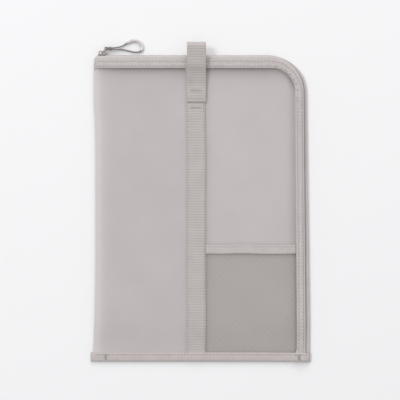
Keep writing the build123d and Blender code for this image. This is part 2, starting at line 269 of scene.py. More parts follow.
def mesh_of(piece):
    """The mesh that the object makes with its modifiers or bevel."""
    return bpy.data.meshes.new_from_object(piece.evaluated_get(bpy.context.evaluated_depsgraph_get()))


def steps(low, high, size):
    """Evenly spaced values from low to high, about size apart."""
    count = max(2, round(abs(high - low) / size) + 1)
    return [low + (high - low) * k / (count - 1) for k in range(count)]


def flattened(y):
    """Share of its full thickness that the case keeps: it thins towards the bound bottom edge."""
    return THIN_SHARE + (1 - THIN_SHARE) * eased((y - Y_BIND) / THIN_REACH)


def settle(x, y, z):
    """The case as it lies: the fold bows in between its ends, the zipped side leans in at the top,
    the corner at the slider is pulled down, and the bottom is thinner than the top."""
    h = min((y - Y_BOTTOM) / (Y_TOP - Y_BOTTOM), 0.85)
    across = (x - X_FOLD) / (X_EDGE - X_FOLD)
    bow = 1.3 * ((h - 0.55) / 0.3) ** 4 if h > 0.55 else 2.4 * ((0.55 - h) / 0.55) ** 4
    left = (0.25 - bow) * MM * max(0.0, 1 - across) ** 2
    front = (0.9 - 1.95 * h) * MM * max(0.0, across) ** 2
    outside = -1.3 * h * MM * share_of((x - X_ZIP) / (X_EDGE - X_ZIP))
    cut = max(0.0, 1 - (x - X_FOLD) / CORNER_CUT) ** 1.3 * max(0.0, 1 - (Y_TOP - y) / (4 * CORNER_CUT))
    return x + left + front + outside, y - CORNER_CUT * cut, z * flattened(y)


def rounding(x):
    """Share of the half height that the sheet has reached at x: 0 at the fold, 1 past its reach."""
    t = share_of((x - X_FOLD) / FOLD_REACH)
    return (1 - (1 - t) ** FOLD_POWER) ** (1 / FOLD_POWER)


def ripple(x, y, size, height):
    """Uneven rise and fall about this size across, the same on every run."""
    return height * noise.noise(Vector((x / size, y / size, 0.37)))


def lie(d):
    """0 at a held edge, rising to 1 away from it."""
    return 1 - fading(d, SAG_REACH)


def front_level(x, y):
    """Top face of the front mesh: high under the top tape, slack between, and low up to the right tape."""
    lift = max(fading(Y_SEAM_IN - y, SAG_REACH), share_of((x - X_SEAM_IN) / (3.5 * MM)))
    slack = MESH_LIES + ripple(x, y, 45 * MM, 0.22 * MM) + ripple(x, y, 14 * MM, 0.10 * MM)
    slack -= DROP_BY_STRAP * (1 - fading(x - X_STRAP, 2.5 * MM))
    return Z_MIDDLE + (slack + (Z_FRONT - slack) * lift - Z_MIDDLE) * rounding(x)


def corner_top(x, top, right, radius):
    """Upper limit of y at x inside an outline with one round corner."""
    over = x - (right - radius)
    return top if over <= 0 else top - radius + math.sqrt(max(radius * radius - over * over, 0.0))


def front_rows(top, right, radius):
    """Rows of the front sheet from its raw bottom edge up, closer together near the top tape."""
    rows = []
    round_x = [X_FOLD + FOLD_REACH * t * t for t in (1.0, 0.85, 0.7, 0.55, 0.42, 0.3, 0.2, 0.1)]
    columns = [(x, -1) for x in round_x] + [(X_FOLD, 0)] + [(x, 1) for x in reversed(round_x)]
    columns += [(x, 1) for x in steps(X_FOLD + FOLD_REACH, right - 9 * MM, GRID)[1:]]
    columns += [(x, 1) for x in steps(right - 9 * MM, right, 0.9 * MM)[1:]]
    near = 1 - 22 * MM / (top - Y_RAW)
    for v in steps(0.0, near, 1 / 90)[:-1] + steps(near, 1.0, 1 / 280):
        row = []
        for x, side in columns:
            y = Y_RAW + v * (corner_top(x, top, right, radius) - Y_RAW)
            level = front_level(x, y) if side >= 0 else Z_MIDDLE - (Z_MIDDLE - Z_BACK) * rounding(x)
            u = x if side >= 0 else 2 * X_FOLD - x
            row.append((*settle(x, y, level), u, y))
        rows.append(row)
    return rows


def bends(piece):
    """Bakes the piece's placement into its mesh."""
    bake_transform(piece)
    return piece


mesh_cloth = nylon_mesh("nylon_mesh", MESH_LIGHT, MESH_DARK, MESH_PITCH)


def front_painted_light(x, y):
    """Painted light and shade on the front mesh: a painted highlight along the fold, painted shade in the
    hollow under the top band and a painted shadow beside the strap; also darker along the right tape."""
    # painted highlight on the strip by the fold
    fold = 0.26 * fading(x - X_FOLD - 3 * MM, 3.2 * MM)
    by_right_tape = 0.10 * share_of((x - X_SEAM_IN + 5.6 * MM) / (2.2 * MM))
    from_fold = max(share_of((x - X_FOLD) / (22 * MM)), 0.15)
    # painted shade under the top band
    band_shade = 0.50 * fading(Y_SEAM_IN - y, 3.0 * MM) * from_fold
    # painted shadow beside the strap
    strap_shadow = 0.25 * fading(x - X_STRAP, 0.9 * MM) if x > X_STRAP else 0.0
    open_cloth = 0.05 * share_of((x - X_STRAP) / (6 * MM))
    return fold - by_right_tape - band_shade - strap_shadow + open_cloth


front_sheet = grid_piece(
    "mesh_front", front_rows(Y_SEAM_OUT, X_ZIP - 3.0 * MM, 23 * MM), mesh_cloth, MESH_THICK, -1.0, front_painted_light,
)
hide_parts("front_panel", "front_panel_flap", "spine_fold")
bends(front_sheet)

BACK_REST = 0.35 * MM
back_rows = []
for v in steps(0.0, 1.0, 1 / 60):
    row = []
    for x in steps(X_FOLD + 2 * MM, X_EDGE - 3 * MM, 3.5 * MM):
        y = Y_RAW + v * (corner_top(x, Y_TOP - 3 * MM, X_EDGE - 3 * MM, 28 * MM) - Y_RAW)
        held = lie(Y_TOP - 8 * MM - y) * lie(X_EDGE - 8 * MM - x) * lie(y - Y_BIND) * lie(x - X_FOLD - 4 * MM)
        top = Z_BACK + MESH_THICK - (Z_BACK - BACK_REST) * held
        row.append((*settle(x, y, top + ripple(x, y, 30 * MM, 0.15 * MM) * held), x, y))
    back_rows.append(row)
back_sheet = grid_piece("mesh_back", back_rows, mesh_cloth, MESH_THICK)
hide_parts("back_panel")
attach(back_sheet, "case_back")

# ---------------------------------------------------------------------------------------------
# Zip. A size 3 coil zip sewn in with its smooth side out: two woven polyester tapes meet edge to
# edge over the nylon coils behind them. It rolls over the top edge and leans in down the right.
# ---------------------------------------------------------------------------------------------
ZIP_TAPE_THICK = 0.4 * MM
ZIP_LIGHT = "#d0c9c8"
ZIP_DARK = "#b4acab"
FRONT_RADIUS = 29 * MM
BACK_RADIUS = 31 * MM
COIL_PITCH = 1.2 * MM
COIL_WIRE = 0.26 * MM
COIL_HIGH = 0.44 * MM
COIL_WIDE = 0.52 * MM
COIL_INSET = 1.35 * MM      # zipped edge to the middle of the teeth
STOP_WIRE = 0.45 * MM
STOP_OPEN = 150             # degrees from the bent stop's back to each of its ends
SLOT_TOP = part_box("front_coil")[0].z
X_TAPE = X_FOLD + 0.4 * MM
TOP_STEPS, ARC_STEPS, SIDE_STEPS = 64, 26, 96


def smooth_tape(name, light, dark, pitch, roughness):
    """Fine polyester tape, tightly woven and heat-set: even, matt, with a faint rib across."""
    material, tree, shader = surface(
        name, Roughness=roughness, Specular_IOR_Level=0.35, Sheen_Weight=0.3, Sheen_Roughness=0.45,
    )
    height = woven(tree, pitch, pitch * 0.8)
    coloured(tree, shader, thread_shade_and_patches(tree, height, light, dark, 0.12, 14.0))
    raised(tree, shader, height, 0.05 * MM)
    return material


def edge_line(top, right, radius):
    """Points along the zipped edge: along the top, round the corner and down the right side."""
    points = []
    for k in range(TOP_STEPS):
        points.append((X_TAPE + (right - radius - X_TAPE) * k / TOP_STEPS, top))
    for k in range(ARC_STEPS):
        a = math.pi / 2 * (1 - k / ARC_STEPS)
        points.append((right - radius + radius * math.cos(a), top - radius + radius * math.sin(a)))
    for k in range(SIDE_STEPS + 1):
        points.append((right, top - radius + (Y_RAW - top + radius) * k / SIDE_STEPS))
    return points


def lowered(x, z):
    """A level on the front or back, drawn in to the fold's round end."""
    return Z_MIDDLE + (z - Z_MIDDLE) * rounding(x)


def edge_band(name, lines, material, thick, offset=-1.0, shape=None):
    """Tape along the zipped edge. lines are (top, right, radius, z) from its first edge to its last."""
    tracks = [(edge_line(*line[:3]), line[3]) for line in lines]
    middle = tracks[len(tracks) // 2][0]
    run, runs = 0.0, []
    for k, p in enumerate(middle):
        run += math.dist(p, middle[k - 1]) if k else 0.0
        runs.append(run)
    rows = []
    for number, (track, z) in enumerate(tracks):
        row = []
        for k, (x, y) in enumerate(track):
            level = lowered(x, z)
            if shape:
                x, y, level = shape(k, number / (len(tracks) - 1), x, y, level)
            row.append((*settle(x, y, level), runs[k], 0.0))
        rows.append(row)
    for k in range(len(rows[0])):
        width = 0.0
        for n in range(len(rows)):
            if n:
                width += math.dist(rows[n][k][:3], rows[n - 1][k][:3])
            x, y, z, u, _ = rows[n][k]
            rows[n][k] = (x, y, z, u, width)
    return grid_piece(name, rows, material, thick, offset)


zip_cloth = smooth_tape("zip_tape_cloth", ZIP_LIGHT, ZIP_DARK, 0.55, 0.62)
front_zip_lines = [
    (Y_TOP - inset * MM, X_ZIP - side * MM, FRONT_RADIUS - (inset + side) / 2 * MM, z)
    for inset, side, z in [
        (9.0, 6.4, Z_SEAM), (5.0, 2.4, Z_SEAM), (3.2, 1.4, Z_SEAM + 0.12 * MM),
        (1.6, 0.8, Z_SEAM + 0.1 * MM), (0.75, 0.4, Z_SEAM - 0.15 * MM), (0.3, 0.18, Z_SEAM - 0.7 * MM),
        (0.1, 0.06, Z_SEAM - 1.5 * MM), (0.0, 0.0, SLOT_TOP),
    ]
]
front_zip = edge_band("zip_tape_front", front_zip_lines, zip_cloth, ZIP_TAPE_THICK)
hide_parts("front_zip_tape", "front_zip_tape_ends")
bends(front_zip)

back_zip_lines = [
    (Y_TOP - inset * MM, X_EDGE - side * MM, BACK_RADIUS - max(side * 0.57, inset) * MM, z * MM)
    for inset, side, z in [
        (0.0, 3.5, 2.9), (0.0, 3.1, 3.25), (0.0, 2.4, 3.35), (0.0, 1.4, 3.25), (0.0, 0.55, 2.95),
        (0.0, 0.12, 2.4), (0.0, 0.0, 1.5), (0.3, 0.3, 0.85), (1.0, 1.0, 0.56), (3.5, 3.5, 0.52),
        (6.0, 6.0, 0.45),
    ]
]
back_zip = edge_band("zip_tape_back", back_zip_lines, zip_cloth, ZIP_TAPE_THICK)
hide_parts("back_zip_tape")
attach(back_zip, "case_back")


def coil_nylon(name, colour, shade):
    """Nylon monofilament wound into a coil and heat-set: hard, smooth, a little glossy."""
    material, tree, shader = surface(name, Roughness=0.35, Specular_IOR_Level=0.5, IOR=1.53)
    cloud = add(tree, "ShaderNodeTexNoise", {"Scale": 900.0, "Detail": 2.0})
    coloured(tree, shader, toned(tree, cloud, colour, shade))
    return material


def skin(rings, sides, first=0, inward=False):
    """Faces over rings of points, both ends capped; inward where the rings turn the other way."""
    faces = []
    for low in range(first, first + (rings - 1) * sides, sides):
        for s in range(sides):
            a, b = low + s, low + (s + 1) % sides
            faces.append((a, a + sides, b + sides, b) if inward else (a, b, b + sides, a + sides))
    near = tuple(range(first, first + sides))
    far = tuple(range(first + (rings - 1) * sides, first + rings * sides))
    return faces + ([near, far[::-1]] if inward else [near[::-1], far])


def tube(name, centres, radius, material, sides=8):
    """Round tube through the centres; radius is one value or one for each centre."""
    points, maps = [], []
    side_way = None
    run = 0.0
    for k, centre in enumerate(centres):
        ahead = centres[k + 1] if k + 1 < len(centres) else centre
        behind = centres[k - 1] if k else centre
        way = (Vector(ahead) - Vector(behind)).normalized()
        if side_way is None:
            side_way = way.orthogonal().normalized()
        side_way = (side_way - way * side_way.dot(way)).normalized()
        up = way.cross(side_way)
        r = radius[k] if isinstance(radius, list) else radius
        run += (Vector(centre) - Vector(behind)).length if k else 0.0
        for s in range(sides):
            a = 2 * math.pi * s / sides
            points.append(Vector(centre) + r * (math.cos(a) * side_way + math.sin(a) * up))
            maps.append((run / MM, r * a / MM))
    return new_piece(name, points, skin(len(centres), sides), maps, material)


def along(points, size):
    """Points every size along a line of points, with the direction at each."""
    found, left = [], size / 2
    for a, b in zip(points, points[1:]):
        a, b = Vector(a), Vector(b)
        length = (b - a).length
        while left <= length:
            found.append((a.lerp(b, left / length), (b - a).normalized()))
            left += size
        left -= length
    return found


def coil_row(name, z, phase, material):
    """One row of teeth: the wire winds round a line behind the tape, one turn for each tooth."""
    line = [
        settle(x, y, z)
        for x, y in edge_line(Y_TOP - COIL_INSET, X_ZIP - COIL_INSET, FRONT_RADIUS - COIL_INSET)
        if x > X_FOLD + 4.5 * MM and y > Y_BIND + 2.5 * MM
    ]
    turns = []
    for k, (point, way) in enumerate(along(line, COIL_PITCH / 8)):
        a = 2 * math.pi * (k / 8 + phase)
        outward = Vector((-way.y, way.x, 0))
        turns.append(point + COIL_WIDE * math.cos(a) * outward + COIL_HIGH * math.sin(a) * Vector((0, 0, 1)))
    return tube(name, turns, COIL_WIRE, material, 5)


def repainted(node, material):
    """Gives a piece that keeps its own shape this material."""
    slots = frame["nodes"][node].data.materials
    slots.clear()
    slots.append(material)


coil_plastic = coil_nylon("coil_nylon", "#a39b99", "#8d8583")
coil_z = [sum(v.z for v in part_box(node)) / 2 for node in ("front_coil", "back_coil")]
front_coil = coil_row("coil_front", coil_z[0], 0.0, coil_plastic)
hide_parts("front_coil", "front_coil_ends")
bends(front_coil)
back_coil = coil_row("coil_back", coil_z[1], 0.5, coil_plastic)
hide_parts("back_coil")
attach(back_coil, "case_back")
repainted("zip_top_stops", coil_plastic)
stop_low, stop_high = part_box("zip_bottom_stop")
stop_wire = min((stop_high.y - stop_low.y) / 2, STOP_WIRE)
stop_mid = (stop_low + stop_high) / 2
stop_half = (stop_high - stop_low) / 2
stop_line = []
for k in range(17):
    a = math.radians(STOP_OPEN * (k / 8 - 1))
    x = stop_mid.x + (stop_half.x - stop_wire) * math.cos(a)
    stop_line.append(settle(x, stop_mid.y, stop_mid.z + (stop_half.z - stop_wire) * math.sin(a)))
end_stop = tube("zip_end_stop", stop_line, stop_wire, coil_plastic, 10)
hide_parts("zip_bottom_stop")
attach(end_stop, "case_back")

# ---------------------------------------------------------------------------------------------
# Seam tape. A twill tape is folded over the raw edges of mesh and zip on both faces, and sewn
# through with two rows of lockstitch. It gathers a little on the inside of the round corner.
# ---------------------------------------------------------------------------------------------
SEAM_THICK = 0.45 * MM
SEAM_RISE = seam_high.z - Z_SEAM
SEAM_INNER_RADIUS = 17 * MM
SEAM_OUTER_RADIUS = 26 * MM
SEAM_LIGHT = "#d4cdcb"
SEAM_DARK = "#a69e9c"
STITCH_LONG = 1.75 * MM
STITCH_WIDE = 0.62 * MM
FLAT_STITCH = 0.2 * MM      # thread pressed under the case
STITCH_PITCH = 2.7 * MM
HOLE_LONG = 0.80 * MM
HOLE_WIDE = 0.58 * MM
HOLE_MARK = 9.0
# painted shade inside the needle holes
HOLE_SHADE = "#958d8b"
GATHERS = 7
GATHER_HIGH = 0.45 * MM


def twill_tape(name, light, dark, pitch):
    """Soft twill-woven polyester: slanting lines a thread or two apart, with a brushed, matt face."""
    material, tree, shader = surface(
        name, Roughness=0.78, Specular_IOR_Level=0.3, Sheen_Weight=0.35, Sheen_Roughness=0.5,
    )
    place = thread_map(tree)
    slant = add(tree, "ShaderNodeMapping", {"Vector": place, "Rotation": (0, 0, math.radians(40))})
    lines = add(
        tree, "ShaderNodeTexWave",
        {"Vector": slant, "Scale": 0.314 / pitch, "Distortion": 2.4, "Detail": 2.0, "Detail Scale": 1.5},
    )
    cross = woven(tree, pitch * 0.8, pitch * 0.8)
    fluff = add(tree, "ShaderNodeTexNoise", {"Vector": place, "Scale": 0.9 / pitch, "Detail": 2.0})
    weave = add(tree, "ShaderNodeMath", {0: lines, 1: cross}, operation="MULTIPLY")
    height = add(tree, "ShaderNodeMath", {0: weave, 1: fluff}, operation="ADD")
    tone = sloped(tree, height, 0.35, 1.35, 0.32, 0.82)
    coloured(tree, shader, thread_shade_and_patches(tree, tone, light, dark, 0.10, 9.0))
    raised(tree, shader, height, 0.07 * MM)
    return material


def gathers(k, share, x, y, z):
    """Small puckers round the corner, strongest at the tape's inner edge, and a soft corner at the foot."""
    turn = (k - TOP_STEPS) / ARC_STEPS
    if -0.25 < turn < 1.45:
        fade = math.sin(math.pi * (turn + 0.25) / 1.7) ** 0.7
        z += GATHER_HIGH * fade * (1 - share) ** 1.5 * math.sin(2 * math.pi * GATHERS * turn)
    z += 0.12 * MM * math.sin(math.pi * share)
    if share == 0:
        foot = 2.2 * MM
        over = y - Y_BIND
        if k > TOP_STEPS + ARC_STEPS and over < foot:
            x -= foot - math.sqrt(max(foot ** 2 - (foot - max(over, 0.0)) ** 2, 0.0))
    return x, y, z


def band_lines(inner, outer, z_inner, z_outer, count=6):
    """Evenly spaced lines across a tape between its (top, right, radius) edges."""
    lines = []
    for k in range(count):
        t = k / (count - 1)
        lines.append(tuple(a + (b - a) * t for a, b in zip((*inner, z_inner), (*outer, z_outer))))
    return lines


def spun_thread(name, light, dark):
    """Spun polyester sewing thread, two-ply: a soft twist along it and a dull, fuzzy surface."""
    material, tree, shader = surface(
        name, Roughness=0.8, Specular_IOR_Level=0.25, Sheen_Weight=0.3, Sheen_Roughness=0.5,
    )
    place = thread_map(tree)
    slant = add(tree, "ShaderNodeMapping", {"Vector": place, "Rotation": (0, 0, math.radians(35))})
    twist = add(tree, "ShaderNodeTexWave", {"Vector": slant, "Scale": 0.9, "Distortion": 0.5})
    across = apart(tree, place)[1]
    # needle holes take the painted shade colour
    hole = add(tree, "ShaderNodeMath", {0: across, 1: HOLE_MARK - 1}, operation="GREATER_THAN")
    coloured(tree, shader, toned(tree, hole, thread_shade_and_patches(tree, twist, light, dark), HOLE_SHADE))
    raised(tree, shader, twist, 0.05 * MM)
    return material


def stitches(name, line, pitch, material, long=STITCH_LONG, wide=STITCH_WIDE, holes=True):
    """Row of lockstitches along a line on the cloth: short threads, and where asked a needle hole
    between each and the next, a small cup painted with the hole's shade. On the map it lies far across."""
    profile = [(-0.5, 0.3, -0.5), (-0.36, 0.85, 0.2), (0.0, 1.0, 0.5), (0.36, 0.85, 0.2), (0.5, 0.3, -0.5)]
    sides = 6
    points, faces, maps = [], [], []
    for centre, way in along(line, pitch):
        side = Vector((-way.y, way.x, 0)).normalized()
        up = way.cross(side)
        first = len(points)
        for share, size, lift in profile:
            ring = centre + way * (share * long) + up * (lift * wide / 2)
            for s in range(sides):
                a = 2 * math.pi * s / sides
                points.append(ring + size * wide / 2 * (math.cos(a) * side + math.sin(a) * up))
                maps.append((share * long / MM, s * wide / sides / MM * 3))
        faces += skin(len(profile), sides, first)
        if not holes:
            continue
        hole = centre + way * (pitch / 2)
        first = len(points)
        for level in (0.03 * MM, -0.10 * MM):
            for s in range(sides):
                a = 2 * math.pi * s / sides
                rim = way * (HOLE_LONG / 2 * math.cos(a)) + side * (HOLE_WIDE / 2 * math.sin(a))
                points.append(hole + rim + up * level)
                maps.append((0.0, HOLE_MARK))
        faces += skin(2, sides, first, inward=True)
    piece = new_piece(name, points, faces, maps, material)
    return piece


twill = twill_tape("twill_tape", SEAM_LIGHT, SEAM_DARK, 1.7)
thread = spun_thread("spun_thread", "#dcd6d4", "#b2aaa8")
seam_inner = (Y_SEAM_IN - 0.6 * MM, X_SEAM_IN, SEAM_INNER_RADIUS + 0.3 * MM)
seam_outer = (Y_SEAM_OUT, X_SEAM_OUT, SEAM_OUTER_RADIUS)
Z_TAPE = Z_SEAM + SEAM_RISE
BACK_TAPE_Z = 0.06 * MM
front_seam = edge_band(
    "seam_tape_front", band_lines(seam_inner, seam_outer, Z_TAPE - 0.15 * MM, Z_TAPE, 9),
    twill, SEAM_THICK, -1.0, gathers,
)
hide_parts("front_seam_tape", "front_seam_tape_ends")
bends(front_seam)

for number, share in enumerate((0.30, 0.92)):
    parts = zip(seam_inner, seam_outer)
    top, right, radius = (a + (b - a) * share for a, b in parts)
    line = [
        settle(x, y, lowered(x, Z_TAPE + 0.05 * MM))
        for x, y in edge_line(top, right, radius) if y > Y_BIND
    ]
    bends(stitches(f"seam_stitches_front_{number + 1}", line, STITCH_PITCH, thread))

BACK_TAPE_IN = 1.0 * MM
back_outer = (Y_TOP - BACK_TAPE_IN, X_EDGE - BACK_TAPE_IN, BACK_RADIUS - BACK_TAPE_IN)
back_inner = tuple(v - SEAM_WIDE for v in back_outer)
back_lines = band_lines(back_inner, back_outer, BACK_TAPE_Z, BACK_TAPE_Z)
back_seam = edge_band("seam_tape_back", back_lines, twill, SEAM_THICK, 1.0)
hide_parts("back_seam_tape")
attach(back_seam, "case_back")
for number, share in enumerate((0.14, 0.86)):
    top, right, radius = (a + (b - a) * share for a, b in zip(back_inner, back_outer))
    line = [settle(x, y, 0.05 * MM) for x, y in edge_line(top, right, radius) if y > Y_BIND]
    row = stitches(
        f"seam_stitches_back_{number + 1}", line, STITCH_PITCH, thread, 2.1 * MM, FLAT_STITCH, holes=False,
    )
    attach(row, "case_back")

# ---------------------------------------------------------------------------------------------
# Webbing. A 15 mm polyester webbing with cross ribs runs up the front from the bottom binding to
# the top seam tape. It is stitched down along both edges and lies a little unevenly.
# ---------------------------------------------------------------------------------------------
web_low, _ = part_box("centre_webbing")
_, web_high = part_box("centre_webbing_upper")
WEB_WIDE = web_high.x - web_low.x
WEB_MID = (web_low.x + web_high.x) / 2
WEB_THICK = web_high.z - web_low.z
RIB = 2.04 * MM
WARP_MM = 0.6               # millimetres between the fine warps
RIB_HIGH = 0.032 * MM
WEB_LIGHT = "#c3bcb9"
WEB_DARK = "#9f9795"
WEB_STEP = RIB / 6
WEB_PROFILE = [
    (-0.5, 0.1), (-0.5, 0.8), (-0.485, 0.98), (-0.40, 1.0), (-0.18, 1.0), (0.0, 1.0),
    (0.18, 1.0), (0.40, 1.0), (0.485, 0.98), (0.5, 0.8), (0.5, 0.1), (0.3, 0.0), (0.0, 0.0), (-0.3, 0.0),
]


def ribbed_webbing(name, light, dark):
    """Filament polyester webbing: thick wefts make ribs across it, fine warps run along it."""
    material, tree, shader = surface(
        name, Roughness=0.7, Specular_IOR_Level=0.35, Sheen_Weight=0.35, Sheen_Roughness=0.45,
    )
    angle = scaled(tree, thread_map(tree), math.pi / (RIB / MM), math.pi / WARP_MM, 0)
    rib_crown, warp_crown, _ = crowns(tree, angle)
    rib = sloped(tree, rib_crown, 0.0, 0.75, 0.0, 1.0)
    warp = sloped(tree, warp_crown, 0.0, 1.0, 0.72, 1.0)
    height = add(tree, "ShaderNodeMath", {0: rib, 1: warp}, operation="MULTIPLY")
    tone = sloped(tree, height, 0.0, 1.0, 0.35, 0.9)
    coloured(tree, shader, thread_shade_and_patches(tree, tone, light, dark, 0.1, 12.0))
    raised(tree, shader, height, 0.1 * MM)
    return material


def ribbon(name, stations, profile, wide, thick, material, rib=0.0):
    """Strap along stations of (point, across, up), from a closed profile of shares of its size."""
    points, maps = [], []
    run, last = 0.0, None
    for point, across, up in stations:
        run += (point - last).length if last else 0.0
        last = point
        swell = rib * (abs(math.sin(math.pi * run / RIB)) - 0.6)
        girth = 0.0
        for n, (a, b) in enumerate(profile):
            face = swell if 0.3 > abs(b - 0.5) * 0.6 - 0.01 and abs(a) < 0.45 else 0.0
            out = face if b > 0.5 else -face
            points.append(point + across * (a * wide) + up * (b * thick + out))
            if n:
                girth += math.hypot((a - profile[n - 1][0]) * wide, (b - profile[n - 1][1]) * thick)
            maps.append((run / MM, girth / MM))
    return new_piece(name, points, skin(len(stations), len(profile), inward=True), maps, material)


webbing_cloth = ribbed_webbing("ribbed_webbing", WEB_LIGHT, WEB_DARK)


def web_level(y):
    """Underside of the strap along its middle."""
    return settle(WEB_MID, y, front_level(WEB_MID, y) + 0.12 * MM)[2]


web_stations = []
for y in steps(Y_RAW, Y_SEAM_IN + 0.3 * MM, WEB_STEP):
    x = settle(WEB_MID, y, 0)[0] + ripple(3.1, y, 24 * MM, 0.35 * MM)
    slope = (web_level(y + MM) - web_level(y - MM)) / (2 * MM)
    up = Vector((0, -slope, 1)).normalized()
    web_stations.append((Vector((x, y, web_level(y))), Vector((1, 0, 0)), up))
webbing = ribbon("centre_strap", web_stations, WEB_PROFILE, WEB_WIDE, WEB_THICK, webbing_cloth, RIB_HIGH)
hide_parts("centre_webbing", "centre_webbing_upper")
bends(webbing)

for number, side in enumerate((-1, 1)):
    edge = side * (WEB_WIDE / 2 - 1.1 * MM)
    line = [
        (p.x + edge, p.y, p.z + WEB_THICK + 0.02 * MM)
        for p, _, _ in web_stations if Y_BIND < p.y < Y_SEAM_IN - 10 * MM
    ]
    bends(stitches(f"strap_stitches_{number + 1}", line, 2.47 * MM, thread, 1.9 * MM))

# ---------------------------------------------------------------------------------------------
# Hanging loop. A length of the same webbing, folded end to end. Its two ends lie one on the other
# on the strap and are sewn through, and the rest stands free past the top edge for a hook.
# ---------------------------------------------------------------------------------------------
loop_low, loop_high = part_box("hanging_loop")
sewn_low, sewn_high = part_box("loop_sewn_ends")
LOOP_WIDE = 14.6 * MM
LOOP_MID = WEB_MID + 0.4 * MM
LOOP_RADIUS = (loop_high.z - loop_low.z) / 2 - WEB_THICK / 2
LOOP_END = loop_high.y - MM
loop_centre = Vector((LOOP_MID, LOOP_END - LOOP_RADIUS - WEB_THICK / 2, (loop_low.z + loop_high.z) / 2))
LAYER = 0.58 * MM           # each sewn layer, pressed


def strap_top(y):
    """Upper face of the strap along its middle."""
    return web_level(y) + WEB_THICK


def on_strap(y, layers):
    """Middle of the sewn layer with this number from the strap up, as (y, z)."""
    return (y, strap_top(y) + (layers - 0.5) * LAYER)


low_middle = loop_low.z + WEB_THICK / 2
loop_points = [on_strap(sewn_low.y, 0.75)]
loop_points += [on_strap(y, 1) for y in (sewn_low.y + 5 * MM, sewn_high.y, sewn_high.y + 6 * MM)]
loop_points += [(y, low_middle) for y in (Y_SEAM_IN - 2 * MM, Y_SEAM_OUT, loop_centre.y - 3 * MM)]
for k in range(13):
    a = -math.pi / 2 + math.pi * k / 12
    loop_points.append((loop_centre.y + LOOP_RADIUS * math.cos(a), loop_centre.z + LOOP_RADIUS * math.sin(a)))
high_middle = loop_high.z - WEB_THICK / 2
loop_points += [
    (loop_centre.y - 5 * MM, high_middle - 0.7 * MM), (Y_SEAM_OUT + 1.5 * MM, high_middle - 1.4 * MM),
    (Y_SEAM_IN + 1.5 * MM, high_middle - 2.4 * MM), (Y_SEAM_IN - 3.0 * MM, high_middle - 5.0 * MM),
    (Y_SEAM_IN - 7.5 * MM, strap_top(Y_SEAM_IN - 7.5 * MM) + 2.1 * MM),
]
loop_points += [on_strap(y, 2) for y in (sewn_high.y + 3 * MM, sewn_high.y, sewn_low.y + 5 * MM)]
loop_points.append(on_strap(sewn_low.y, 1.2))


def smoothed(points, rounds=3):
    """Chaikin corner cutting, keeping both ends."""
    for _ in range(rounds):
        cut = [points[0]]
        for a, b in zip(points, points[1:]):
            cut.append(tuple(0.75 * p + 0.25 * q for p, q in zip(a, b)))
            cut.append(tuple(0.25 * p + 0.75 * q for p, q in zip(a, b)))
        points = cut + [points[-1]]
    return points


loop_line = along([(LOOP_MID, y, z) for y, z in smoothed(loop_points)], WEB_STEP)
loop_stations = []
for k, (point, way) in enumerate(loop_line):
    from_end = min(k, len(loop_line) - 1 - k) * WEB_STEP
    up = Vector((0, way.z, -way.y)) * min(0.3 + 0.7 * from_end / (4 * MM), 1.0)
    loop_stations.append((point - up * (WEB_THICK / 2), Vector((1, 0, 0)), up))
loop = ribbon("webbing_loop", loop_stations, WEB_PROFILE, LOOP_WIDE, WEB_THICK, webbing_cloth, RIB_HIGH)
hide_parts("hanging_loop", "loop_sewn_ends")
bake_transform(loop)


def zigzag(name, low, high, rows, material):
    """Bartack: thread laid to and fro between two edges, close enough to touch."""
    turns = []
    for k in range(rows * 2 + 1):
        x = low.x + (high.x - low.x) * k / (rows * 2)
        turns.append(Vector((x, low.y if k % 2 else high.y, low.z)))
    points = [turns[0]]
    for a, b in zip(turns, turns[1:]):
        points += [(a + b) / 2, b]
    piece = tube(name, points, STITCH_WIDE / 2, material, 6)
    return piece


tack_low, tack_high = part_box("loop_bartack")
loop_tack = zigzag(
    "loop_root_bartack",
    Vector((tack_low.x, tack_low.y - 0.6 * MM, on_strap(tack_low.y, 2)[1] + WEB_THICK / 2 + 0.15 * MM)),
    Vector((tack_high.x, tack_high.y + 0.6 * MM, 0)), 5, thread,
)
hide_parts("loop_bartack")
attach(loop_tack, "flap")
foot_y = sewn_low.y + 0.9 * MM
foot_z = on_strap(foot_y, 1.5)[1] + 0.25 * MM
foot_line = [(x, foot_y, foot_z) for x in steps(LOOP_MID - 6 * MM, LOOP_MID + 6 * MM, MM)]
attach(stitches("loop_foot_stitches", foot_line, 2.4 * MM, thread, 1.9 * MM, holes=False), "flap")
tack_low, tack_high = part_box("webbing_bartack")
strap_tack = zigzag(
    "strap_bartack",
    Vector((tack_low.x, tack_low.y, strap_top(tack_low.y) + 0.15 * MM)),
    Vector((tack_high.x, tack_high.y, 0)), 8, thread,
)
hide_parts("webbing_bartack")
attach(strap_tack, "flap")

# ---------------------------------------------------------------------------------------------
# Pocket. A second layer of the mesh, sewn under the strap, the side tape and the bottom binding,
# with a folded tape along its open top edge. Two layers let less light through, so it looks darker.
# ---------------------------------------------------------------------------------------------
hem_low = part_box("pocket_hem")[0]
hem_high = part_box("pocket_hem_flap")[1]
HEM_WIDE = hem_high.y - hem_low.y
HEM_THICK = 0.8 * MM
# Ends of the pocket's tone, which also carries its painted shade.
POCKET_LIGHT = "#beb7b4"
POCKET_DARK = "#7f7875"
POCKET_GAPE = 0.7 * MM
HEM_PROFILE = [
    (-0.5, 0.1), (-0.5, 0.6), (-0.44, 0.95), (-0.3, 1.0), (0.0, 1.02), (0.3, 1.0), (0.44, 0.95), (0.5, 0.6),
    (0.5, 0.1), (0.3, 0.0), (-0.3, 0.0),
]


